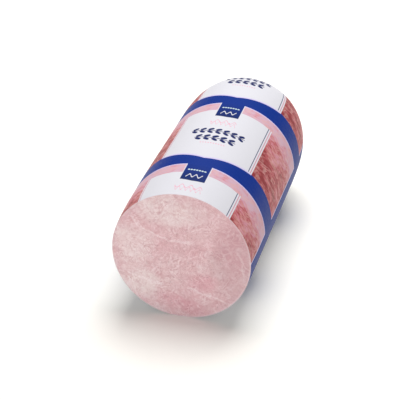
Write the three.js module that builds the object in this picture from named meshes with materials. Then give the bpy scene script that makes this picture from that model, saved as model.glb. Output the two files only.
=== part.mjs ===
// A half log of cooked ham sausage: ham meat in a printed film casing, cut flat at the front
// and gathered into a crimped aluminium clip at the back.
// Millimetres, +Z up. The log lies along Y with its cut face towards -Y and its clip towards +Y.
// The origin is on the table, under the middle of the overall length.

import * as THREE from "three";

// The log
const BODY_RADIUS = 50.4;
const BODY_LENGTH = 222; // cut face to the crown of the rounded end
const SHOULDER_START = 100; // distance from the cut face where the rounded end begins to draw in
const SHOULDER_SHARPNESS = 7; // superellipse exponent of the rounded end, 2 would be an ellipse
const CUT_EDGE_DRAW_IN = 0.4; // the cut casing springs in by this much at its edge
const CUT_EDGE_REACH = 25;
const RESTING_FLAT_DEPTH = 0.8; // how far the underside is pressed flat by the log's weight
const AXIS_HEIGHT = BODY_RADIUS - RESTING_FLAT_DEPTH;

// The casing
const CASING_THICKNESS = 0.4;
const CLEARANCE = 0.3; // between pieces that touch

// The gathered end
const NECK_RADIUS = 4.2;
const NECK_ROOT_RADIUS = 13; // where the pleats leave the rounded end
const NECK_START = 226; // distances from the cut face
const NECK_END = 236;
const TAIL_END = 246;
const TAIL_RADIUS = 8.5;

// The clip, flat wire pressed round the neck
const CLIP_WIRE_WIDTH = 4.4; // along the log
const CLIP_WIRE_THICKNESS = 2.6;
const CLIP_PATH_RADIUS = NECK_RADIUS + CLEARANCE + CLIP_WIRE_THICKNESS / 2;
const CLIP_PLACE = (NECK_START + NECK_END) / 2;
const CLIP_MOUTH = THREE.MathUtils.degToRad(26); // half the angle left open between its legs
const CLIP_SQUARENESS = 0.1; // how far the press squares the ring's corners out

// Fineness
const TURN_SEGMENTS = 72;
const BODY_RINGS = 4;
const SHOULDER_RINGS = 12;
const NECK_RINGS = 5;
const CLIP_STEPS = 28;

const CUT_FACE_Y = -TAIL_END / 2;

/** Radius of the casing's outside on the straight part of the log. */
function barrelRadius(along) {
  const towardsCut = Math.max(0, 1 - along / CUT_EDGE_REACH);
  return BODY_RADIUS - CUT_EDGE_DRAW_IN * towardsCut ** 2;
}

/** Distance from the cut face at which the rounded end has a given radius. */
function shoulderPlace(radius) {
  const reach = (1 - (radius / BODY_RADIUS) ** 2) ** (1 / SHOULDER_SHARPNESS);
  return SHOULDER_START + (BODY_LENGTH - SHOULDER_START) * reach;
}

/** The outside of the log as points (radius, distance from the cut face), cut edge to crown. */
function logOutline() {
  const points = [];
  for (let i = 0; i < BODY_RINGS; i++) {
    const along = (CUT_EDGE_REACH * i) / (BODY_RINGS - 1);
    points.push(new THREE.Vector2(barrelRadius(along), along));
  }
  for (let i = 0; i <= SHOULDER_RINGS; i++) {
    const angle = (Math.PI / 2) * (i / SHOULDER_RINGS);
    const radius = i < SHOULDER_RINGS ? BODY_RADIUS * Math.cos(angle) : 0;
    points.push(new THREE.Vector2(radius, shoulderPlace(radius)));
  }
  return points;
}

/** The log's outline moved inwards by a depth, still ending on the axis and on the cut face. */
function outlineInset(outline, depth) {
  return outline.map((point, i) => {
    if (i === outline.length - 1) return new THREE.Vector2(0, point.y - depth);
    if (i === 0) return new THREE.Vector2(point.x - depth, point.y);
    const run = outline[i + 1].clone().sub(outline[i - 1]).normalize();
    return new THREE.Vector2(point.x - run.y * depth, point.y + run.x * depth);
  });
}

/** The outside of the gathered end, from the rounded end to the middle of the tail's end. */
function gatheredOutline() {
  const points = [];
  const rootPlace = shoulderPlace(NECK_ROOT_RADIUS);
  for (let i = 0; i <= NECK_RINGS; i++) {
    const angle = (Math.PI / 2) * (i / NECK_RINGS);
    points.push(
      new THREE.Vector2(
        NECK_ROOT_RADIUS - (NECK_ROOT_RADIUS - NECK_RADIUS) * Math.sin(angle),
        NECK_START - (NECK_START - rootPlace) * Math.cos(angle),
      ),
    );
  }
  points.push(new THREE.Vector2(NECK_RADIUS, NECK_END));
  for (let i = 1; i <= NECK_RINGS; i++) {
    const reach = i / NECK_RINGS;
    const spread = Math.sin((Math.PI / 2) * reach);
    points.push(
      new THREE.Vector2(
        NECK_RADIUS + (TAIL_RADIUS - NECK_RADIUS) * spread,
        NECK_END + (TAIL_END - NECK_END) * reach,
      ),
    );
  }
  points.push(new THREE.Vector2(0, TAIL_END));
  return points;
}

/**
 * A solid turned about the log's axis, with its underside pressed flat.
 * Each outline point has a floor of its own, the lowest height its ring may reach.
 */
function turnedSolid(outline, floors) {
  const geometry = new THREE.LatheGeometry(outline, TURN_SEGMENTS);
  geometry.translate(0, CUT_FACE_Y, AXIS_HEIGHT);
  const position = geometry.getAttribute("position");
  for (let i = 0; i < position.count; i++) {
    const floor = floors[i % outline.length];
    position.setZ(i, Math.max(position.getZ(i), floor));
  }
  return geometry;
}

function meatGeometry() {
  const depth = CASING_THICKNESS + CLEARANCE;
  const cutFaceCentre = new THREE.Vector2(0, 0);
  const outline = [cutFaceCentre, ...outlineInset(logOutline(), depth)];
  const floors = outline.map(() => depth);
  return turnedSolid(outline, floors);
}

function casingGeometry() {
  const log = logOutline();
  const gathered = gatheredOutline();
  const barrelAndShoulder = log.filter((point) => point.x > gathered[0].x + 1);
  const inside = outlineInset(log, CASING_THICKNESS).reverse();
  const outside = [...barrelAndShoulder, ...gathered];
  const outline = [...inside, ...outside];
  const floors = outline.map((_, i) => (i < inside.length ? CASING_THICKNESS : 0));
  return turnedSolid(outline, floors);
}

/** The pressed ring of the clip, open at the top between its two legs. */
class ClipPath extends THREE.Curve {
  getPoint(t, target = new THREE.Vector3()) {
    const angle = Math.PI / 2 + CLIP_MOUTH + t * 2 * (Math.PI - CLIP_MOUTH);
    const radius = CLIP_PATH_RADIUS * (1 + CLIP_SQUARENESS * Math.sin(2 * angle) ** 2);
    return target.set(radius * Math.cos(angle), 0, radius * Math.sin(angle));
  }
}

function clipGeometry() {
  const halfWidth = CLIP_WIRE_WIDTH / 2;
  const halfThickness = CLIP_WIRE_THICKNESS / 2;
  const chamfer = halfThickness / 2;
  const section = new THREE.Shape([
    new THREE.Vector2(-halfWidth + chamfer, -halfThickness),
    new THREE.Vector2(halfWidth - chamfer, -halfThickness),
    new THREE.Vector2(halfWidth, -halfThickness + chamfer),
    new THREE.Vector2(halfWidth, halfThickness - chamfer),
    new THREE.Vector2(halfWidth - chamfer, halfThickness),
    new THREE.Vector2(-halfWidth + chamfer, halfThickness),
    new THREE.Vector2(-halfWidth, halfThickness - chamfer),
    new THREE.Vector2(-halfWidth, -halfThickness + chamfer),
  ]);
  const geometry = new THREE.ExtrudeGeometry(section, {
    steps: CLIP_STEPS,
    extrudePath: new ClipPath(),
  });
  geometry.translate(0, CUT_FACE_Y + CLIP_PLACE, AXIS_HEIGHT);
  return geometry;
}

function piece(name, geometry, colour, roughness, metalness) {
  const material = new THREE.MeshStandardMaterial({ color: colour, roughness, metalness });
  const mesh = new THREE.Mesh(geometry, material);
  mesh.name = name;
  return mesh;
}

const sausage = new THREE.Group();
sausage.add(
  piece("meat", meatGeometry(), 0xdfbcc0, 0.5, 0),
  piece("casing", casingGeometry(), 0xd9a7ae, 0.35, 0),
  piece("clip", clipGeometry(), 0xb8babd, 0.35, 1),
);

export default sausage;
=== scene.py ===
import math
import random

import bmesh
import bpy
from bpy.props import FloatProperty, FloatVectorProperty, IntProperty, PointerProperty
from bpy.types import Operator, Panel, PropertyGroup
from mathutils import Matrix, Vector


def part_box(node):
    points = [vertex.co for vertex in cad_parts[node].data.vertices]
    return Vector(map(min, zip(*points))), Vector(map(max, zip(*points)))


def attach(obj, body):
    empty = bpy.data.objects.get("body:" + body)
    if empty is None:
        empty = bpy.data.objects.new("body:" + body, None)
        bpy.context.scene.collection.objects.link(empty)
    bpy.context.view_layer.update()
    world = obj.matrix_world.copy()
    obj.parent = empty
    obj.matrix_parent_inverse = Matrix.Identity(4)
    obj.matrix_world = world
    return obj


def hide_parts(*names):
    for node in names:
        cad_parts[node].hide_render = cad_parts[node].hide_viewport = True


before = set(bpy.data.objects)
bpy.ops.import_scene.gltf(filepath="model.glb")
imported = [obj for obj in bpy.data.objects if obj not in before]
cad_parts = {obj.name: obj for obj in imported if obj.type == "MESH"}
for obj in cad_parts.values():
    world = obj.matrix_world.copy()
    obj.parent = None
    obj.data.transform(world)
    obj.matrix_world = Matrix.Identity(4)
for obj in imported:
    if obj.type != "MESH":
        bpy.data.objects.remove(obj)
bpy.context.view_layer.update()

bl_info = {
    "name": "Ham Sausage Half Log",
    "version": (1, 0, 0),
    "blender": (4, 5, 0),
    "location": "View3D > Sidebar > Ham Sausage",
    "description": "Models a cut log of cooked ham sausage in its printed casing, with its clip",
    "category": "Add Mesh",
}

MM = 0.001

# Sizes that the frame settles
CASING_LOW, CASING_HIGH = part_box("casing")
MEAT_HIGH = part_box("meat")[1]
CLIP_LOW, CLIP_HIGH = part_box("clip")
LOG_RADIUS = CASING_HIGH.x
AXIS_Z = CASING_HIGH.z - LOG_RADIUS
CUT_Y = CASING_LOW.y
TAIL_Y = CASING_HIGH.y
CROWN_Y = MEAT_HIGH.y + LOG_RADIUS - MEAT_HIGH.x
CLIP_Y = (CLIP_LOW.y + CLIP_HIGH.y) / 2
CLIP_WIDTH = CLIP_HIGH.y - CLIP_LOW.y

# How near a vertex lies to the cut, or to the ring that it belongs to
AT_CUT = 0.01 * MM
ON_RING = 0.05 * MM
ON_SAGGED_RING = 0.2 * MM


def tint(red, green, blue):
    """A colour given as on a swatch card, 0 to 255, in the linear values that shaders take."""
    def linear(level):
        share = level / 255
        return share / 12.92 if share <= 0.04045 else ((share + 0.055) / 1.055) ** 2.4
    return linear(red), linear(green), linear(blue)


def colour_property(name, description, default):
    return FloatVectorProperty(
        name=name, description=description, default=default,
        subtype="COLOR", size=3, min=0.0, max=1.0)


def length_property(name, description, default):
    return FloatProperty(
        name=name, description=description, default=default,
        unit="LENGTH", subtype="DISTANCE", precision=5)


def angle_property(name, description, degrees):
    return FloatProperty(
        name=name, description=description, default=math.radians(degrees), subtype="ANGLE")


def number_property(name, description, default):
    return FloatProperty(name=name, description=description, default=default)


# ---------------------------------------------------------------- settings

class LogSettings(PropertyGroup):
    """The log's shape, shared by the meat and the casing."""

    columns: IntProperty(
        name="Columns", description="Vertices round the log", default=144, min=24, max=288)
    shoulder_start: length_property(
        "Shoulder Start", "Distance from the cut at which the rounded end begins", 100 * MM)
    shoulder_sharpness: FloatProperty(
        name="Shoulder Sharpness", description="Superellipse exponent of the rounded end",
        default=7.0, min=2.0, max=12.0)
    edge_draw_in: length_property(
        "Edge Draw-in", "How far the casing springs in at the cut", 0.4 * MM)
    edge_reach: length_property(
        "Edge Reach", "Distance from the cut over which the casing springs in", 25 * MM)
    edge_shrink: number_property("Edge Shrink", "Share by which the cut end is smaller", 0.009)
    shrink_point: angle_property(
        "Shrink Point", "Where on its rim it shrinks to, counted from the top to the right", 150)
    sway: length_property(
        "Sway", "How far the closed end stands over to the right", 1.15 * MM)
    sway_start: length_property(
        "Sway Start", "Distance from the cut at which the log starts to lean over", 45 * MM)
    sway_end: length_property(
        "Sway End", "Distance from the cut at which it has leaned all the way", 155 * MM)
    slimming: number_property("Slimming", "Share by which the closed end is narrower", 0.012)


class CasingSettings(PropertyGroup):
    """The film, its print and its gathered end."""

    film_thickness: length_property("Film Thickness", "Wall of the casing", 0.3 * MM)
    neck_root_radius: length_property(
        "Neck Root Radius", "Where the folds leave the rounded end", 13 * MM)
    neck_radius: length_property("Neck Radius", "Gathered film under the clip", 4.2 * MM)
    neck_half_length: length_property("Neck Half Length", "Neck on each side of the clip", 5 * MM)
    tail_radius: length_property("Tail Radius", "Outside of the flared tail", 8.5 * MM)
    pleat_start: length_property(
        "Pleat Start", "Radius of the rounded end at which the folds begin", 44 * MM)
    pleats: IntProperty(name="Pleats", description="Folds at the gathered end", default=24)
    pleat_depth: number_property(
        "Pleat Depth", "Share of the neck's radius by which the folds sink in", 0.6)
    twist: angle_property("Twist", "How far the neck is turned before it is clipped", 34)
    unevenness: length_property(
        "Unevenness", "How far the film sinks where the meat fills it less", 0.3 * MM)
    band_blue: colour_property("Band Blue", "Ink of the bands and back", tint(4, 46, 134))
    tab_blue: colour_property("Tab Blue", "Ink of the tabs' lower half", tint(12, 36, 94))
    label_white: colour_property("Label White", "Ground of the labels", tint(217, 216, 222))
    rim_lilac: colour_property("Rim Lilac", "Fine lines along the bands", tint(206, 196, 230))
    title_navy: colour_property("Title Navy", "Dark ornament on the labels", tint(20, 34, 92))
    accent_pink: colour_property("Accent Pink", "Light ornament on the labels", tint(230, 168, 186))
    picture_dark: colour_property("Picture Dark", "Deep red of the printed ham", tint(142, 54, 58))
    picture_pale: colour_property("Picture Pale", "Pale pink of the printed ham", tint(208, 144, 158))


class MeatSettings(PropertyGroup):
    """The cooked ham and its cut face."""

    clearance: number_property(
        "Clearance", "From the film's outside to the meat, in film thicknesses", 1.1)
    end_radius: length_property(
        "End Radius", "Where the meat's rounded end closes, under the folds", 12 * MM)
    relief: length_property("Relief", "Depth of the cut face's fine hollows", 0.35 * MM)
    cream: colour_property("Cream", "Palest pieces in the cut", tint(236, 216, 216))
    pink: colour_property("Pink", "Most of the cut", tint(226, 189, 193))
    rose: colour_property("Rose", "Deepest pieces in the cut", tint(220, 156, 168))


class ClipSettings(PropertyGroup):
    """The crimped wire clip."""

    wire_thickness: length_property("Wire Thickness", "Flat wire, seen from the end", 2.6 * MM)
    mouth: angle_property("Mouth", "Angle left open between the two legs", 52)
    corner: length_property("Corner", "Rounding of the wire's edges", 0.55 * MM)


class StageSettings(PropertyGroup):
    """The camera, the light and the floor."""

    azimuth: angle_property(
        "Azimuth", "How far the camera stands to the right of the cut", 14.74)
    elevation: angle_property("Elevation", "How far the camera looks down", 30.2)
    distance: length_property("Distance", "From the camera to what it looks at", 1.0823)
    aim_behind_cut: length_property(
        "Aim Behind Cut", "Point on the log's axis that the framing starts from", 60 * MM)
    aim_left: length_property("Aim Left", "How far the framing moves left", 1.83 * MM)
    aim_up: length_property("Aim Up", "How far the framing moves up", 9.74 * MM)
    lens: FloatProperty(
        name="Lens", description="Focal length", default=135.0, unit="CAMERA")
    sky: number_property("Sky", "Strength of the light from all round", 0.29)
    overhead: number_property("Overhead", "Power of the large soft light above", 19.0)
    front: number_property("Front", "Power of the soft light low before the cut", 7.5)
    floor_glow: number_property("Floor Glow", "Light that the lit table itself gives", 0.07)
    floor_white: colour_property("Floor White", "The floor's colour", tint(253, 251, 245))


# ---------------------------------------------------------------- modelling helpers

def start_clean():
    """Back to object mode, with nothing selected."""
    if bpy.context.object and bpy.context.object.mode != "OBJECT":
        bpy.ops.object.mode_set(mode="OBJECT")
    bpy.ops.object.select_all(action="DESELECT")


def select_vertices(piece, wanted):
    """In edit mode, selects the vertices for which wanted(co) is true, and nothing else."""
    bpy.ops.mesh.select_all(action="DESELECT")
    shape = bmesh.from_edit_mesh(piece.data)
    for vertex in shape.verts:
        if wanted(vertex.co):
            vertex.select_set(True)
    shape.select_flush(True)
    bmesh.update_edit_mesh(piece.data)


def from_axis(co):
    """Distance of a point from the log's axis."""
    return math.hypot(co.x, co.z - AXIS_Z)


def around(co):
    """Angle of a point round the log's axis: 0 at the top, positive to the right."""
    return math.atan2(co.x, co.z - AXIS_Z)


def apply_modifiers(piece):
    bpy.context.view_layer.objects.active = piece
    for modifier in list(piece.modifiers):
        bpy.ops.object.modifier_apply(modifier=modifier.name)


def smooth_shading(piece, sharpest=math.radians(40)):
    start_clean()
    piece.select_set(True)
    bpy.context.view_layer.objects.active = piece
    bpy.ops.object.shade_smooth_by_angle(angle=sharpest)


def outward_normals():
    """In edit mode, turns every face outwards."""
    bpy.ops.mesh.select_all(action="SELECT")
    bpy.ops.mesh.normals_make_consistent(inside=False)


def turned_shell(name, outline, columns):
    """A circle extruded ring by ring along an outline of (radius, y). Left in edit mode."""
    start_clean()
    radius, y = outline[0]
    bpy.ops.mesh.primitive_circle_add(
        vertices=columns, radius=radius, fill_type="NOTHING",
        location=(0, y, AXIS_Z), rotation=(math.pi / 2, 0, 0))
    shell = bpy.context.object
    shell.name = shell.data.name = name
    bpy.ops.object.transform_apply(location=True, rotation=True, scale=True)
    bpy.ops.object.mode_set(mode="EDIT")
    bpy.ops.mesh.select_all(action="SELECT")
    for (radius, y), (next_radius, next_y) in zip(outline, outline[1:]):
        bpy.ops.mesh.extrude_edges_move(TRANSFORM_OT_translate={"value": (0, next_y - y, 0)})
        grow = next_radius / radius
        bpy.ops.transform.resize(
            value=(grow, 1, grow), center_override=(0, next_y, AXIS_Z))
    return shell


def press_flat(piece, level):
    """In edit mode, brings every vertex below a level up to it, as the table does."""
    select_vertices(piece, lambda co: co.z < level)
    bpy.ops.transform.resize(value=(1, 1, 0), center_override=(0, 0, level))


def ease(value, low, high):
    """0 below low, 1 above high, with a soft start and end."""
    share = min(1.0, max(0.0, (value - low) / (high - low)))
    return share * share * (3 - 2 * share)


def settle(piece, log, outline):
    """In edit mode, gives each ring the log's own unevenness: a smaller cut end, a slight sway."""
    pivot = (
        LOG_RADIUS * math.sin(log.shrink_point), 0,
        AXIS_Z + LOG_RADIUS * math.cos(log.shrink_point))
    for _, y in outline:
        near = max(0.0, 1 - (y - CUT_Y) / log.edge_reach) ** 2
        far = ease(y, CUT_Y + log.sway_start, CUT_Y + log.sway_end)
        if near == 0 and far == 0:
            continue
        select_vertices(piece, lambda co: abs(co.y - y) < ON_RING)
        shrink = 1 - log.edge_shrink * near
        bpy.ops.transform.resize(value=(shrink, 1, shrink), center_override=pivot)
        bpy.ops.transform.resize(
            value=(1 - log.slimming * far, 1, 1), center_override=(0, y, AXIS_Z))
        bpy.ops.transform.translate(value=(log.sway * far, 0, 0))


def steps(low, high, count):
    return [low + (high - low) * i / count for i in range(count + 1)]


def edge_radius(log, behind_cut):
    """The casing's radius on the straight part of the log."""
    towards_cut = max(0.0, 1 - behind_cut / log.edge_reach)
    return LOG_RADIUS - log.edge_draw_in * towards_cut ** 2


def shoulder_y(log, radius):
    """Where the rounded end has a given radius."""
    start = CUT_Y + log.shoulder_start
    reach = (1 - (radius / LOG_RADIUS) ** 2) ** (1 / log.shoulder_sharpness)
    return start + (CROWN_Y - start) * reach


def log_outline(log, smallest, edge_rings=6, barrel_rings=18, shoulder_rings=26):
    """The casing's outside from the cut to a radius on the rounded end, as (radius, y)."""
    outline = []
    for behind_cut in steps(0, log.edge_reach, edge_rings)[:-1]:
        outline.append((edge_radius(log, behind_cut), CUT_Y + behind_cut))
    for behind_cut in steps(log.edge_reach, log.shoulder_start, barrel_rings)[:-1]:
        outline.append((LOG_RADIUS, CUT_Y + behind_cut))
    last = math.acos(smallest / LOG_RADIUS)
    for angle in steps(0, last, shoulder_rings):
        radius = LOG_RADIUS * math.cos(angle)
        outline.append((radius, shoulder_y(log, radius)))
    return outline


def fold_share(casing, radius):
    """The share of its radius by which the film sinks in a full valley of the folds."""
    reach = (casing.pleat_start - radius) / (casing.pleat_start - casing.neck_radius)
    return casing.pleat_depth * min(1.0, max(0.0, reach)) ** 3


def gathered_outline(log, casing):
    """The gathered end's outside: root of the folds, neck, flared tail."""
    root_y = shoulder_y(log, casing.neck_root_radius)
    neck_y = CLIP_Y - casing.neck_half_length
    neck_end_y = CLIP_Y + casing.neck_half_length
    outline = []
    for angle in steps(0, math.pi / 2, 10)[1:]:
        radius = casing.neck_root_radius
        radius -= (casing.neck_root_radius - casing.neck_radius) * math.sin(angle)
        outline.append((radius, neck_y - (neck_y - root_y) * math.cos(angle)))
    for y in steps(neck_y, neck_end_y, 6)[1:]:
        outline.append((casing.neck_radius, y))
    for reach in steps(0, 1, 9)[1:]:
        spread = math.sin(math.pi / 2 * reach)
        radius = casing.neck_radius + (casing.tail_radius - casing.neck_radius) * spread
        outline.append((radius, neck_end_y + (TAIL_Y - neck_end_y) * reach))
    return outline


# ---------------------------------------------------------------- material helpers

class Recipe:
    """A material's nodes, added one by one. Each method gives back the socket it ends in."""

    def __init__(self, name):
        self.material = bpy.data.materials.new(name)
        self.material.use_nodes = True
        self.tree = self.material.node_tree
        self.shader = self.tree.nodes["Principled BSDF"]

    def feed(self, socket, value):
        if isinstance(value, bpy.types.NodeSocket):
            self.tree.links.new(value, socket)
        elif socket.type == "RGBA":
            socket.default_value = (*value, 1.0)
        else:
            socket.default_value = value

    def add(self, kind, inputs, output=0, **settings):
        node = self.tree.nodes.new(kind)
        for key, value in settings.items():
            setattr(node, key, value)
        for key, value in inputs.items():
            self.feed(node.inputs[key], value)
        return node.outputs[output]

    def math(self, operation, *values, clamp=False):
        return self.add(
            "ShaderNodeMath", dict(enumerate(values)), operation=operation, use_clamp=clamp)

    def plus(self, first, second, clamp=False):
        return self.math("ADD", first, second, clamp=clamp)

    def minus(self, first, second):
        return self.math("SUBTRACT", first, second)

    def times(self, first, second):
        return self.math("MULTIPLY", first, second)

    def over(self, first, second):
        return self.math("DIVIDE", first, second)

    def unsigned(self, value):
        return self.math("ABSOLUTE", value)

    def position(self, scale=1000.0, stretch=(1, 1, 1), origin=(0, 0, 0)):
        """Object coordinates in millimetres, or in another scale, measured from an origin."""
        place = self.add("ShaderNodeTexCoord", {}, "Object")
        offset = [-o * scale * s for o, s in zip(origin, stretch)]
        return self.add(
            "ShaderNodeMapping",
            {"Vector": place, "Location": offset, "Scale": [scale * s for s in stretch]})

    def film_position(self, width, length):
        """Millimetres round the film and along it, from the film's own map."""
        film = self.add("ShaderNodeUVMap", {}, uv_map="film")
        split = self.tree.nodes.new("ShaderNodeSeparateXYZ")
        self.feed(split.inputs[0], film)
        across = self.times(self.minus(split.outputs[0], 0.5), width)
        return across, self.times(split.outputs[1], length)

    def vector(self, x, y, z=0.0):
        return self.add("ShaderNodeCombineXYZ", {0: x, 1: y, 2: z})

    def noise(self, vector, scale, detail=2.0, roughness=0.5, distortion=0.0, output=0):
        return self.add(
            "ShaderNodeTexNoise",
            {"Vector": vector, "Scale": scale, "Detail": detail,
             "Roughness": roughness, "Distortion": distortion}, output)

    def cells(self, vector, scale, output="Distance", **settings):
        return self.add(
            "ShaderNodeTexVoronoi", {"Vector": vector, "Scale": scale}, output, **settings)

    def shift(self, vector, amount, scale, detail=3.0):
        """Bends a vector field by noise, up to amount either way."""
        colour = self.noise(vector, scale, detail, output="Color")
        centred = self.add(
            "ShaderNodeVectorMath", {0: colour, 1: (0.5, 0.5, 0.5)}, operation="SUBTRACT")
        scaled = self.add(
            "ShaderNodeVectorMath", {0: centred, "Scale": 2 * amount}, operation="SCALE")
        return self.add("ShaderNodeVectorMath", {0: vector, 1: scaled}, operation="ADD")

    def remap(self, value, low, high, to_low=0.0, to_high=1.0):
        """A straight ramp from low to high, held at both ends."""
        return self.add(
            "ShaderNodeMapRange",
            {"Value": value, "From Min": low, "From Max": high,
             "To Min": to_low, "To Max": to_high}, clamp=True)

    def above(self, value, edge, soft=0.1):
        """1 where a value is over an edge, which may be a socket too."""
        over = self.minus(value, edge)
        return self.remap(over, -soft, soft)

    def between(self, value, low, high, soft=0.1):
        return self.both(self.above(value, low, soft), self.below(value, high, soft))

    def below(self, value, edge, soft=0.1):
        return self.minus(1.0, self.above(value, edge, soft))

    def both(self, *masks):
        kept = masks[0]
        for mask in masks[1:]:
            kept = self.math("MINIMUM", kept, mask)
        return kept

    def paint(self, under, *coats):
        """Lays (colour, mask) coats over a colour in turn, each where its mask is 1."""
        for colour, mask in coats:
            under = self.add(
                "ShaderNodeMix", {"Factor": mask, 6: under, 7: colour}, 2, data_type="RGBA")
        return under

    def blend(self, value, stops):
        """A colour ramp with (place, colour) stops."""
        node = self.tree.nodes.new("ShaderNodeValToRGB")
        elements = node.color_ramp.elements
        while len(elements) < len(stops):
            elements.new(0.5)
        for element, (place, colour) in zip(elements, stops):
            element.position = place
            element.color = (*colour, 1.0)
        self.feed(node.inputs[0], value)
        return node.outputs[0]

    def bump(self, height, distance, strength=1.0):
        return self.add(
            "ShaderNodeBump", {"Height": height, "Distance": distance, "Strength": strength})

    def finish(self, **sockets):
        """Sets the shader's own sockets: base_color=..., roughness=... and so on."""
        for key, value in sockets.items():
            name = key.replace("_", " ").title().replace("Ior", "IOR")
            self.feed(self.shader.inputs[name], value)
        return self.material


# ---------------------------------------------------------------- the print

PRINT_REPEAT = 98.3  # all print sizes are millimetres on the film
BAND_PLACE = 42.0  # distance of the first band's lower edge from the cut
BAND_HEIGHT = 20.0
LABEL_CENTRE = 3.0  # to the right of the top
LABEL_HALF_WIDTH = 36.0
LABEL_TOP = 86.3  # this and the heights below are counted from the band's lower edge
LABEL_POINT = 10.5
LABEL_SLOPE = 0.236
LABEL_RIM = 1.8
DARK_LINE = (32.5, 33.05)  # both edges of a fine line, from the label's middle
LIGHT_LINE = (34.35, 34.9)
SPRIGS = ((51.9, 4.1, 20.4, 5.83), (41.2, 4.3, 15.4, 6.16))  # height, half height, half width, pitch
PICTURE_HALF_WIDTH = 75.0
PICTURE_SEAM = 1.0  # pale line round each picture
TAB_HALF_WIDTH = 8.8
TAB_POINT = 75.3
TAB_SLOPE = 0.12
TAB_OUTLINE = 0.6
PANEL_HALF_WIDTH = 60.0
PANEL_HEIGHTS = (25.0, 93.0)
RULES_HALF_WIDTH = 53.0
RULES_HEIGHTS = (30.8, 88.0)
RULES_PITCH = 4.4


def front_layout(recipe, width, length):
    """Signed and plain distance from the label's middle, and height above the band's edge."""
    across, along = recipe.film_position(width, length)
    side = recipe.math("WRAP", recipe.minus(across, LABEL_CENTRE), width / 2, -width / 2)
    height = recipe.math("FLOORED_MODULO", recipe.minus(along, BAND_PLACE), PRINT_REPEAT)
    return side, recipe.unsigned(side), height


def ham_picture(recipe, casing, side, apart, height):
    """The printed picture of ham: streaks round the log, deep red low beside the label."""
    sheet = recipe.shift(recipe.vector(side, height), amount=5.0, scale=0.05)
    lean = recipe.add(
        "ShaderNodeMapping",
        {"Vector": sheet, "Rotation": (0, 0, math.radians(-14)), "Scale": (0.42, 1.0, 1.0)})
    streaks = recipe.noise(lean, 0.26, detail=6.0, roughness=0.64, distortion=0.9)
    clouds = recipe.noise(sheet, 0.07, 3.0)
    upwards = recipe.remap(height, 40.0, LABEL_TOP - 4.0, -0.34, 0.14)
    outwards = recipe.remap(apart, LABEL_HALF_WIDTH + 10.0, PICTURE_HALF_WIDTH - 6.0, 0.0, 0.2)
    tone = recipe.math("MAXIMUM", upwards, recipe.plus(outwards, -0.32))
    under_band = recipe.remap(height, LABEL_TOP - 6.0, LABEL_TOP + 2.0, 0.0, 0.36)
    tone = recipe.plus(tone, under_band)
    grain = recipe.plus(recipe.times(streaks, 1.8), recipe.times(clouds, 0.9))
    tone = recipe.plus(tone, recipe.minus(grain, 0.87), clamp=True)
    colour = recipe.blend(tone, [
        (0.05, casing.picture_dark), (0.4, tint(188, 98, 102)), (0.7, casing.picture_pale),
        (1.0, tint(208, 172, 188))])
    threads = recipe.noise(lean, 0.15, detail=4.0, roughness=0.6, distortion=0.8)
    ridge = recipe.remap(recipe.unsigned(recipe.minus(threads, 0.52)), 0.07, 0.0, 0.0, 0.6)
    broken = recipe.above(recipe.noise(sheet, 0.12), 0.5, 0.12)
    return recipe.paint(colour, (tint(220, 172, 166), recipe.both(ridge, broken)))


def label_ground(recipe, casing, colour, side, apart, height):
    """The white label, its pointed lower edge and its two fine side lines."""
    point = recipe.plus(recipe.times(apart, LABEL_SLOPE), LABEL_POINT)
    label = recipe.both(
        recipe.below(apart, LABEL_HALF_WIDTH),
        recipe.above(height, point),
        recipe.below(height, LABEL_TOP))
    inner_point = recipe.plus(point, LABEL_RIM)
    rim = recipe.both(label, recipe.below(height, inner_point, 0.5))
    inside = recipe.both(label, recipe.above(height, inner_point))
    dark = recipe.both(inside, recipe.between(side, *DARK_LINE))
    light = recipe.both(inside, recipe.between(apart, *LIGHT_LINE))
    return recipe.paint(
        colour, (casing.label_white, label), (casing.rim_lilac, rim),
        (casing.title_navy, dark), (tint(206, 126, 150), light))


def along_row(recipe, side, half_width, pitch):
    """Distance to the side from the middle of the nearest item in a row."""
    counted = recipe.over(recipe.plus(side, half_width), pitch)
    share = recipe.minus(recipe.math("FRACT", counted), 0.5)
    return recipe.times(share, pitch)


def leaf_row(recipe, side, height, middle, half_height, half_width, pitch):
    """A sprig lying on its side: a thin stem with a slanting pair of leaves per pitch."""
    along = along_row(recipe, side, half_width, pitch)
    away = recipe.unsigned(recipe.minus(height, middle))
    slant = recipe.times(recipe.minus(away, half_height / 2), 0.55)
    leaf_half_width, leaf_half_height = pitch * 0.36, half_height * 0.46
    across = recipe.over(recipe.minus(along, slant), leaf_half_width)
    up = recipe.over(recipe.minus(away, half_height - leaf_half_height), leaf_half_height)
    pointed = 1.6
    round_sum = recipe.plus(
        recipe.math("POWER", recipe.unsigned(across), pointed),
        recipe.math("POWER", recipe.unsigned(up), pointed))
    leaves = recipe.below(round_sum, 1.0, 0.12)
    stem = recipe.below(away, half_height * 0.09)
    row = recipe.below(recipe.unsigned(side), half_width)
    return recipe.both(row, recipe.math("MAXIMUM", leaves, stem))


def dots(recipe, side, height, middle, radius, half_width, pitch):
    """A row of small dots, centred on the label."""
    along = along_row(recipe, side, half_width, pitch)
    from_dot = recipe.vector(along, recipe.minus(height, middle))
    reach = recipe.add("ShaderNodeVectorMath", {0: from_dot}, 1, operation="LENGTH")
    row = recipe.below(recipe.unsigned(side), half_width)
    return recipe.both(row, recipe.below(reach, radius))


def wave(recipe, side, height, middle, swing, period, half_width, pen):
    """A plain wavy stroke, centred on the label."""
    turns = recipe.math("SINE", recipe.times(side, 2 * math.pi / period))
    line = recipe.plus(recipe.times(turns, swing), middle)
    off = recipe.unsigned(recipe.minus(height, line))
    row = recipe.below(recipe.unsigned(side), half_width)
    return recipe.both(row, recipe.below(off, pen))


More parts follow.
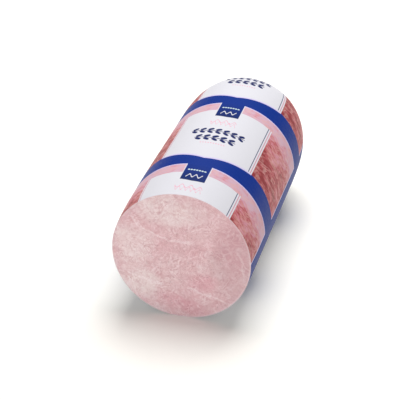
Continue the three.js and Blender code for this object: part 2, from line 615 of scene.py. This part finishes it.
def label_ornament(recipe, casing, colour, side, height):
    """Two dark sprigs, two pale waves above them and a row of pale dots below."""
    for sprig_sizes in SPRIGS:
        sprig = leaf_row(recipe, side, height, *sprig_sizes)
        colour = recipe.paint(colour, (casing.title_navy, sprig))
    for lift in (-1.4, 1.4):
        stroke = wave(
            recipe, side, height, middle=66.0 + lift, swing=2.2, period=5.0 + lift,
            half_width=9.8, pen=0.45)
        colour = recipe.paint(colour, (casing.accent_pink, stroke))
    row = dots(recipe, side, height, middle=33.2, radius=0.6, half_width=9.6, pitch=1.92)
    return recipe.paint(colour, (casing.accent_pink, row))


def tab_print(recipe, casing, colour, side, apart, height):
    """The blue tab under each band, with a white edge, a row of dots and a small wave."""
    point = recipe.plus(recipe.times(apart, TAB_SLOPE), TAB_POINT)
    edge = recipe.both(
        recipe.below(apart, TAB_HALF_WIDTH + TAB_OUTLINE),
        recipe.above(height, recipe.minus(point, TAB_OUTLINE * 1.4)))
    tab = recipe.both(recipe.below(apart, TAB_HALF_WIDTH), recipe.above(height, point))
    depth = recipe.remap(height, TAB_POINT, PRINT_REPEAT)
    blue = recipe.paint(casing.tab_blue, (casing.band_blue, depth))
    row = dots(recipe, side, height, middle=90.3, radius=0.85, half_width=6.8, pitch=1.94)
    stroke = wave(
        recipe, side, height, middle=82.2, swing=1.8, period=4.6, half_width=5.7, pen=0.75)
    return recipe.paint(
        colour, (casing.label_white, edge), (blue, tab),
        (tint(196, 214, 216), row), (casing.label_white, stroke))


def back_print(recipe, casing, colour, apart, height, width):
    """The blue back with a bare white panel of fine rules."""
    back = recipe.above(apart, PICTURE_HALF_WIDTH)
    seam = recipe.between(apart, PICTURE_HALF_WIDTH - PICTURE_SEAM, PICTURE_HALF_WIDTH)
    from_back = recipe.minus(width / 2, apart)
    panel = recipe.both(
        recipe.below(from_back, PANEL_HALF_WIDTH), recipe.between(height, *PANEL_HEIGHTS))
    row = recipe.math("FRACT", recipe.over(height, RULES_PITCH))
    rules = recipe.both(
        recipe.between(row, 0.4, 0.56, 0.03),
        recipe.below(from_back, RULES_HALF_WIDTH),
        recipe.between(height, *RULES_HEIGHTS))
    return recipe.paint(
        colour, (casing.band_blue, back), (casing.rim_lilac, seam),
        (casing.label_white, panel), (tint(150, 160, 190), rules))


def printed_film(casing, width, length):
    """Satin plastic film, printed round and round with bands, labels and pictures of ham."""
    recipe = Recipe("printed_film")
    side, apart, height = front_layout(recipe, width, length)
    colour = ham_picture(recipe, casing, side, apart, height)
    pale_edge = recipe.above(height, PRINT_REPEAT - PICTURE_SEAM, 0.3)
    colour = recipe.paint(colour, (casing.rim_lilac, pale_edge))
    colour = back_print(recipe, casing, colour, apart, height, width)
    colour = recipe.paint(colour, (casing.band_blue, recipe.below(height, BAND_HEIGHT)))
    colour = label_ground(recipe, casing, colour, side, apart, height)
    colour = label_ornament(recipe, casing, colour, side, height)
    colour = tab_print(recipe, casing, colour, side, apart, height)
    place = recipe.position()
    wrinkles = recipe.noise(recipe.shift(place, amount=5.0, scale=0.05), 0.12, detail=3.0)
    handling = recipe.noise(place, 0.5, detail=4.0, roughness=0.6)
    return recipe.finish(
        base_color=colour,
        roughness=recipe.remap(handling, 0.3, 0.7, 0.42, 0.54),
        specular_ior_level=0.11,
        normal=recipe.bump(wrinkles, 0.4 * MM, 0.5))


def bare_film():
    """The film's unprinted inside and its cut edge."""
    recipe = Recipe("bare_film")
    cloud = recipe.noise(recipe.position(), 0.4, 3.0)
    return recipe.finish(
        base_color=recipe.blend(cloud, [(0.3, tint(216, 190, 196)), (0.7, tint(232, 214, 218))]),
        roughness=0.4)


# ---------------------------------------------------------------- meat, clip and floor finishes

# Pieces of meat in the cut, in millimetres from the log's axis: middle to the right and up,
# half width, half height. The last number is how much paler the piece is.
CUT_PIECES = (
    (-8, 36, 23, 11, 0.32), (-34, 6, 13, 17, 0.3), (-30, -26, 15, 12, 0.42), (24, -6, 12, 9, 0.14),
    (15, -18, 10, 7, -0.2), (4, -41, 14, 6, -0.2), (-15, -34, 11, 6, -0.2), (38, 12, 13, 24, -0.16))
# Ovals of the same form: where dark fibres are thick, and where painted shade greys and darkens the
# cut's right side
FIBROUS_HEART = (0, -2, 34, 24)
SHADED_RIGHT_SIDE = (40, 0, 18, 34)
# Pale threads between the pieces, from point to point
PALE_SEAMS = (
    (-36, 27, -20, 15), (-20, 15, -8, 10), (-8, 10, 8, 13), (5, -25, 35, -33),
    (-42, -14, -24, -24), (-24, -24, -12, -26), (42, 12, 44, -12))


def cut_ham(meat):
    """Cooked ham in the cut: pressed pieces of uneven pink, flowing fibres, pale seams, pin holes, a
    painted highlight along the rim and painted shade on the right side.
    """
    recipe = Recipe("cut_ham")
    place = recipe.position(origin=(0, CUT_Y, AXIS_Z))
    bent = recipe.shift(place, amount=9.0, scale=0.06, detail=4.0)
    drift = recipe.noise(place, 0.035, detail=3.0, roughness=0.6)
    tone = recipe.remap(drift, 0.3, 0.7, 0.4, 0.6)
    cells = recipe.cells(bent, 0.1, "Color", feature="SMOOTH_F1")
    shade = recipe.add("ShaderNodeSeparateColor", {0: cells})
    tone = recipe.plus(tone, recipe.times(recipe.minus(shade, 0.5), 0.16))
    for *oval, lift in CUT_PIECES:
        reach = cut_distance(recipe, bent, *oval)
        tone = recipe.plus(tone, recipe.remap(reach, 1.3, 0.6, 0.0, lift))
    colour = recipe.blend(tone, [(0.1, meat.rose), (0.5, meat.pink), (0.9, meat.cream)])
    pale, deep = tint(250, 234, 236), tint(200, 142, 150)
    swirl = recipe.shift(place, amount=4.0, scale=0.08, detail=2.0)
    flow = recipe.noise(swirl, 0.07, distortion=1.2)
    ripples = 10
    ripple = recipe.math("SINE", recipe.times(flow, 2 * math.pi * ripples))
    broken = recipe.remap(recipe.noise(place, 0.11, 3.0), 0.42, 0.62, 0.0, 0.5)
    colour = recipe.paint(
        colour, (pale, recipe.times(recipe.remap(ripple, 0.3, 1.0, 0.0, 0.65), broken)),
        (deep, recipe.times(recipe.remap(ripple, -0.3, -1.0), broken)))
    for ends in PALE_SEAMS:
        seam = cut_seam(recipe, bent, *ends)
        colour = recipe.paint(colour, (pale, recipe.times(seam, 0.5)))
    ruffled = recipe.shift(place, amount=1.6, scale=0.3)
    grain = recipe.noise(ruffled, 0.24, detail=5.0, roughness=0.68, distortion=1.6)
    dark_grain = recipe.remap(grain, 0.5, 0.3, 0.0, 0.5)
    pale_grain = recipe.remap(grain, 0.5, 0.7, 0.0, 0.5)
    tangled = recipe.shift(place, amount=1.6, scale=0.3, detail=2.0)
    fibres = recipe.noise(tangled, 0.22, detail=3.0, roughness=0.6, distortion=2.2)
    dark_fibres = recipe.both(
        recipe.remap(recipe.unsigned(recipe.minus(fibres, 0.46)), 0.02, 0.0),
        recipe.remap(cut_distance(recipe, bent, *FIBROUS_HEART), 1.2, 0.6, 0.25, 1.0))
    pin_holes = recipe.both(
        recipe.below(recipe.cells(bent, 0.26), 0.12, 0.06),
        recipe.above(recipe.noise(place, 0.05, 1.0), 0.54, 0.05))
    # Painted shade: a grey-pink laid over the right side of the cut, darkening it as if less light
    # fell there
    painted_right_shade = recipe.remap(cut_distance(recipe, bent, *SHADED_RIGHT_SIDE), 1.3, 0.6, 0.0, 0.34)
    # Painted highlight: a pale ring along the cut's outermost rim, where the edge catches the light
    rim = LOG_RADIUS / MM
    edge = recipe.remap(cut_distance(recipe, place, 0, 0, rim, rim), 0.96, 0.985)
    colour = recipe.paint(
        colour, (deep, dark_grain), (pale, pale_grain),
        (tint(178, 130, 134), recipe.times(dark_fibres, 0.6)),
        (tint(164, 124, 132), recipe.times(pin_holes, 0.5)),
        (tint(178, 140, 144), painted_right_shade),
        (tint(246, 222, 226), recipe.times(edge, 0.5)))
    height = recipe.minus(grain, pin_holes)
    return recipe.finish(
        base_color=colour,
        roughness=recipe.remap(grain, 0.3, 0.7, 0.42, 0.6),
        specular_ior_level=0.35,
        subsurface_weight=0.12,
        subsurface_radius=(0.006, 0.003, 0.002),
        subsurface_scale=1.0,
        normal=recipe.bump(height, 0.25 * MM, 0.5))


def cut_distance(recipe, place, x, z, wide, high):
    """1 at the rim of an oval in the cut, less inside it, more outside."""
    offset = recipe.add(
        "ShaderNodeVectorMath", {0: place, 1: (x, 0, z)}, operation="SUBTRACT")
    scaled = recipe.add(
        "ShaderNodeVectorMath", {0: offset, 1: (1 / wide, 0, 1 / high)}, operation="MULTIPLY")
    return recipe.add("ShaderNodeVectorMath", {0: scaled}, 1, operation="LENGTH")


def cut_seam(recipe, place, start_x, start_z, end_x, end_z):
    """A thread in the cut between two points: 1 on it, 0 away from it."""
    length = math.hypot(end_x - start_x, end_z - start_z)
    lean = math.atan2(end_z - start_z, end_x - start_x)
    offset = recipe.add(
        "ShaderNodeVectorMath", {0: place, 1: (start_x, 0, start_z)}, operation="SUBTRACT")
    split = recipe.tree.nodes.new("ShaderNodeSeparateXYZ")
    recipe.feed(split.inputs[0], offset)
    x, z = split.outputs[0], split.outputs[2]
    along = recipe.plus(recipe.times(x, math.cos(lean)), recipe.times(z, math.sin(lean)))
    away = recipe.minus(recipe.times(z, math.cos(lean)), recipe.times(x, math.sin(lean)))
    within = recipe.both(recipe.above(along, 0.0, 2.5), recipe.below(along, length, 2.5))
    return recipe.both(within, recipe.remap(recipe.unsigned(away), 1.3, 0.2))


def pressed_aluminium():
    """Bare aluminium wire, dulled and scratched by the press."""
    recipe = Recipe("pressed_aluminium")
    place = recipe.position(stretch=(1.0, 0.15, 1.0))
    scratches = recipe.noise(place, 3.0, detail=4.0, roughness=0.7)
    return recipe.finish(
        base_color=recipe.blend(scratches, [(0.3, tint(168, 170, 174)), (0.7, tint(212, 214, 217))]),
        metallic=1.0,
        roughness=recipe.remap(scratches, 0.3, 0.7, 0.28, 0.48),
        normal=recipe.bump(scratches, 0.05 * MM, 0.4))


def floor_white(stage):
    """A matt white table, hardly clouded."""
    recipe = Recipe("floor_white")
    cloud = recipe.noise(recipe.position(scale=1.0), 3.0)
    shade = [level * 0.99 for level in stage.floor_white]
    return recipe.finish(
        base_color=recipe.blend(cloud, [(0.3, shade), (0.7, stage.floor_white)]),
        roughness=0.8,
        emission_color=(1.0, 1.0, 1.0),
        emission_strength=stage.floor_glow)


# ---------------------------------------------------------------- pieces

TAUT_LENGTH = 15 * MM  # beyond this distance from the cut the film may sink


def hand_over(piece, node, materials):
    """Gives a finished piece its finishes and its place in the frame."""
    start_clean()
    for place, material in enumerate(materials):
        if place < len(piece.data.materials):
            piece.data.materials[place] = material
        else:
            piece.data.materials.append(material)
    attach(piece, "root")
    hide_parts(node)


def relief_texture(name, size, depth=2):
    texture = bpy.data.textures.new(name, "CLOUDS")
    texture.noise_scale = size
    texture.noise_depth = depth
    return texture


def weight_group(piece, name, weight):
    """Adds a vertex group whose weight at each vertex is weight(co)."""
    group = piece.vertex_groups.new(name=name)
    for vertex in piece.data.vertices:
        share = min(1.0, max(0.0, weight(vertex.co)))
        if share > 0:
            group.add([vertex.index], share, "REPLACE")


class SAUSAGE_OT_meat(Operator):
    """Models the cooked ham: a cut face with fine relief and a body that fills the casing"""

    bl_idname = "sausage.meat"
    bl_label = "Ham Meat"

    def execute(self, context):
        log, meat = context.scene.sausage_log, context.scene.sausage_meat
        casing = context.scene.sausage_casing
        film = casing.film_thickness
        clear = film * meat.clearance
        outline = []
        for radius, y in log_outline(
                log, meat.end_radius, edge_rings=2, barrel_rings=3, shoulder_rings=10):
            inside = clear + casing.unevenness * ease(y, CUT_Y, CUT_Y + TAUT_LENGTH)
            outline.append((radius * (1 - fold_share(casing, radius)) - inside, y - film))
        outline[0] = (outline[0][0], CUT_Y)
        piece = turned_shell("ham_meat", outline, log.columns)
        bpy.ops.mesh.edge_face_add()
        settle(piece, log, outline)
        self.cut_face(piece)
        press_flat(piece, clear)
        bpy.ops.object.mode_set(mode="OBJECT")
        self.face_relief(piece, meat)
        smooth_shading(piece)
        hand_over(piece, "meat", [cut_ham(meat)])
        return {"FINISHED"}

    def cut_face(self, piece):
        """Closes the cut with a fine grid inside a narrow rim."""
        select_vertices(piece, lambda co: co.y < CUT_Y + AT_CUT)
        bpy.ops.mesh.fill_grid()
        bpy.ops.mesh.inset(thickness=0.5 * MM, depth=0)
        bpy.ops.mesh.subdivide(number_cuts=3)
        outward_normals()

    def face_relief(self, piece, meat):
        """Sinks fine grain and whole pieces into the cut, less and less towards its rim."""
        level_from = LOG_RADIUS - 0.4 * MM
        fade = 3 * MM

        def in_cut(co):
            return 0.0 if co.y > CUT_Y + AT_CUT else (level_from - from_axis(co)) / fade

        weight_group(piece, "cut", in_cut)
        for name, size, share in (("cut_grain", 1.6 * MM, 0.6), ("cut_pieces", 9 * MM, 0.4)):
            relief = piece.modifiers.new(name, "DISPLACE")
            relief.texture = relief_texture(name, size)
            relief.vertex_group = "cut"
            relief.direction = "Y"
            relief.mid_level = 0.0
            relief.strength = meat.relief * share
        apply_modifiers(piece)


class SAUSAGE_OT_casing(Operator):
    """Models the film casing: barrel, rounded end, folds gathered to a neck, flared tail"""

    bl_idname = "sausage.casing"
    bl_label = "Printed Casing"

    def execute(self, context):
        log, casing = context.scene.sausage_log, context.scene.sausage_casing
        body = log_outline(log, casing.neck_root_radius)
        outline = body + gathered_outline(log, casing)
        piece = turned_shell("printed_casing", outline, log.columns)
        settle(piece, log, outline)
        outward_normals()
        bpy.ops.object.mode_set(mode="OBJECT")
        length = self.map_film(piece, outline)
        self.uneven(piece, casing)
        bpy.context.view_layer.objects.active = piece
        bpy.ops.object.mode_set(mode="EDIT")
        self.fold(piece, log, casing, outline)
        self.turn_neck(piece, casing, outline)
        press_flat(piece, 0.0)
        bpy.ops.object.mode_set(mode="OBJECT")
        self.wall(piece, casing)
        width = 2 * math.pi * LOG_RADIUS / MM
        hand_over(
            piece, "casing",
            [printed_film(casing, width, length / MM), bare_film()])
        return {"FINISHED"}

    def map_film(self, piece, outline):
        """The film's map: u goes round from under the log, v along the film. Gives its length."""
        travelled = [0.0]
        for (radius, y), (next_radius, next_y) in zip(outline, outline[1:]):
            travelled.append(travelled[-1] + math.hypot(next_radius - radius, next_y - y))
        layer = piece.data.uv_layers.new(name="film")
        for face in piece.data.polygons:
            middle = around(face.center)
            for corner in face.loop_indices:
                co = piece.data.vertices[piece.data.loops[corner].vertex_index].co
                angle = around(co)
                if angle - middle > math.pi:
                    angle -= 2 * math.pi
                if middle - angle > math.pi:
                    angle += 2 * math.pi
                nearest = min(range(len(outline)), key=lambda ring: abs(outline[ring][1] - co.y))
                layer.data[corner].uv = (
                    angle / (2 * math.pi) + 0.5, travelled[nearest] / travelled[-1])
        return travelled[-1]

    def uneven(self, piece, casing):
        """Lets the film sink a little here and there, but not at the cut or the neck."""
        fade = 10 * MM
        weight_group(piece, "slack", lambda co: min(
            (co.y - CUT_Y) / TAUT_LENGTH, (from_axis(co) - casing.neck_root_radius) / fade))
        sink = piece.modifiers.new("slack", "DISPLACE")
        sink.texture = relief_texture("slack", 30 * MM, depth=1)
        sink.vertex_group = "slack"
        sink.mid_level = 0.0
        sink.strength = -casing.unevenness
        apply_modifiers(piece)

    def fold(self, piece, log, casing, outline):
        """Presses the valleys of the folds towards the axis, deeper and deeper to the neck."""
        draw = random.Random(7)
        depths = self.fold_depths(draw, log.columns, casing.pleats)
        levels = sorted({depth for depth in depths if depth > 0})
        column_angle = 2 * math.pi / log.columns
        for radius, y in outline:
            share = fold_share(casing, radius) if y <= CLIP_Y else fold_share(casing, 0)
            if share <= 0:
                continue
            for level in levels:
                def in_valley(co):
                    column = round(around(co) / column_angle) % log.columns
                    return abs(co.y - y) < ON_SAGGED_RING and depths[column] == level
                select_vertices(piece, in_valley)
                shrink = 1 - share * level
                bpy.ops.transform.resize(
                    value=(shrink, 1, shrink), center_override=(0, y, AXIS_Z))

    def fold_depths(self, draw, columns, pleats):
        """For each column, 0 on a ridge to 1 in a valley, over pleats of uneven width."""
        levels = 8
        edges = [0]
        while edges[-1] < columns:
            sixths = draw.choice((4, 5, 6, 7, 8))
            edges.append(edges[-1] + sixths * columns // (pleats * 6))
        edges[-1] = columns
        depths = []
        for start, end in zip(edges, edges[1:]):
            deep = draw.uniform(0.7, 1.0)
            for column in range(start, end):
                swing = 0.5 - 0.5 * math.cos(2 * math.pi * (column - start) / (end - start))
                depths.append(round(levels * deep * swing) / levels)
        return depths

    def turn_neck(self, piece, casing, outline):
        """Turns the gathered film, more and more towards the tail."""
        lead_in = 4 * MM
        start = CLIP_Y - casing.neck_half_length - lead_in
        for before, (_, y) in zip(outline, outline[1:]):
            if y <= start:
                continue
            select_vertices(piece, lambda co: co.y > (before[1] + y) / 2)
            share = (y - before[1]) / (TAIL_Y - start)
            bpy.ops.transform.rotate(
                value=casing.twist * share, orient_axis="Y", center_override=(0, y, AXIS_Z))

    def wall(self, piece, casing):
        """Gives the film its wall, inwards, thinner in the tight folds at the neck."""
        thin_within, stout_beyond = 20 * MM, 40 * MM
        weight_group(piece, "stout", lambda co: (
            (from_axis(co) - thin_within) / (stout_beyond - thin_within)))
        shell = piece.modifiers.new("wall", "SOLIDIFY")
        shell.thickness = casing.film_thickness
        shell.offset = -1.0
        shell.vertex_group = "stout"
        shell.thickness_vertex_group = 0.3
        shell.material_offset = 1
        shell.material_offset_rim = 1
        for _ in ("printed outside", "bare inside"):
            piece.data.materials.append(None)
        apply_modifiers(piece)
        smooth_shading(piece, math.radians(60))


class SAUSAGE_OT_clip(Operator):
    """Models the clip: flat wire spun round the neck, open between its two legs"""

    bl_idname = "sausage.clip"
    bl_label = "Crimped Clip"

    def execute(self, context):
        clip = context.scene.sausage_clip
        casing = context.scene.sausage_casing
        gap = 0.3 * MM
        ring = casing.neck_radius + gap + clip.wire_thickness / 2
        top = (0, CLIP_Y, AXIS_Z + ring)
        start_clean()
        bpy.ops.mesh.primitive_plane_add(size=1, location=top)
        piece = context.object
        piece.name = piece.data.name = "crimped_clip"
        bpy.ops.object.mode_set(mode="EDIT")
        bpy.ops.mesh.select_all(action="SELECT")
        bpy.ops.transform.rotate(value=math.pi / 2, orient_axis="Y", center_override=top)
        bpy.ops.transform.resize(
            value=(1, CLIP_WIDTH, clip.wire_thickness), center_override=top)
        bpy.ops.mesh.bevel(offset=clip.corner, segments=3, affect="VERTICES")
        bpy.ops.transform.rotate(
            value=clip.mouth / 2, orient_axis="Y", center_override=(0, CLIP_Y, AXIS_Z))
        bpy.ops.mesh.spin(
            steps=48, angle=2 * math.pi - clip.mouth, center=(0, CLIP_Y, AXIS_Z), axis=(0, 1, 0))
        bpy.ops.object.mode_set(mode="OBJECT")
        bpy.ops.object.transform_apply(location=True, rotation=True, scale=True)
        smooth_shading(piece)
        hand_over(piece, "clip", [pressed_aluminium()])
        return {"FINISHED"}


# ---------------------------------------------------------------- stage

# Places and sides of the floor and the two square lamps, in metres
FLOOR_SIDE = 8.0
OVERHEAD_PLACE = (0.0, 0.4, 1.3)
OVERHEAD_SIDE = 0.9
FRONT_PLACE = (-0.2, -1.6, 0.15)
FRONT_SIDE = 0.4
LIT_POINT = Vector((0, 0, 0.05))
SENSOR_WIDTH = 36.0  # in millimetres


class SAUSAGE_OT_stage(Operator):
    """Adds the floor, the soft studio light and the camera"""

    bl_idname = "sausage.stage"
    bl_label = "Stage"

    def execute(self, context):
        stage = context.scene.sausage_stage
        self.floor(stage)
        self.light(stage)
        self.camera(stage)
        return {"FINISHED"}

    def floor(self, stage):
        start_clean()
        bpy.ops.mesh.primitive_plane_add(size=FLOOR_SIDE, location=(0, 0, 0))
        floor = bpy.context.object
        floor.name = "floor"
        floor.data.materials.append(floor_white(stage))

    def light(self, stage):
        scene = bpy.context.scene
        scene.view_settings.view_transform = "Standard"
        world = bpy.data.worlds.new("studio")
        world.use_nodes = True
        background = world.node_tree.nodes["Background"]
        background.inputs["Color"].default_value = (1, 1, 1, 1)
        background.inputs["Strength"].default_value = stage.sky
        scene.world = world
        for name, place, side, power in (
                ("overhead", OVERHEAD_PLACE, OVERHEAD_SIDE, stage.overhead),
                ("front", FRONT_PLACE, FRONT_SIDE, stage.front)):
            bpy.ops.object.light_add(type="AREA", location=place)
            lamp = bpy.context.object
            lamp.name = name
            lamp.data.shape = "SQUARE"
            lamp.data.size = side
            lamp.data.energy = power
            towards = LIT_POINT - lamp.location
            lamp.rotation_euler = towards.to_track_quat("-Z", "Y").to_euler()

    def camera(self, stage):
        back = Vector((
            math.sin(stage.azimuth) * math.cos(stage.elevation),
            -math.cos(stage.azimuth) * math.cos(stage.elevation),
            math.sin(stage.elevation)))
        right = (-back).cross(Vector((0, 0, 1))).normalized()
        up = right.cross(-back)
        aim = Vector((0, CUT_Y + stage.aim_behind_cut, AXIS_Z))
        aim += up * stage.aim_up - right * stage.aim_left
        bpy.ops.object.camera_add(location=aim + back * stage.distance)
        camera = bpy.context.object
        camera.name = "camera"
        camera.rotation_euler = (-back).to_track_quat("-Z", "Y").to_euler()
        camera.data.lens = stage.lens
        camera.data.sensor_width = SENSOR_WIDTH
        bpy.context.scene.camera = camera


# ---------------------------------------------------------------- panel and start

class SAUSAGE_PT_panel(Panel):
    """Lists the pieces of the sausage and its stage"""

    bl_idname = "SAUSAGE_PT_panel"
    bl_label = "Ham Sausage"
    bl_space_type = "VIEW_3D"
    bl_region_type = "UI"
    bl_category = "Ham Sausage"

    def draw(self, context):
        column = self.layout.column()
        for operator in OPERATORS:
            column.operator(operator.bl_idname)


OPERATORS = (SAUSAGE_OT_stage, SAUSAGE_OT_meat, SAUSAGE_OT_casing, SAUSAGE_OT_clip)
SETTINGS = {
    "sausage_log": LogSettings,
    "sausage_casing": CasingSettings,
    "sausage_meat": MeatSettings,
    "sausage_clip": ClipSettings,
    "sausage_stage": StageSettings,
}


def register():
    for settings in SETTINGS.values():
        bpy.utils.register_class(settings)
    for name, settings in SETTINGS.items():
        setattr(bpy.types.Scene, name, PointerProperty(type=settings))
    for shown in (*OPERATORS, SAUSAGE_PT_panel):
        bpy.utils.register_class(shown)


def unregister():
    for shown in reversed((*OPERATORS, SAUSAGE_PT_panel)):
        bpy.utils.unregister_class(shown)
    for name in SETTINGS:
        delattr(bpy.types.Scene, name)
    for settings in reversed(SETTINGS.values()):
        bpy.utils.unregister_class(settings)


def main():
    register()
    bpy.ops.sausage.stage()
    bpy.ops.sausage.meat()
    bpy.ops.sausage.casing()
    bpy.ops.sausage.clip()


if __name__ == "__main__":
    main()
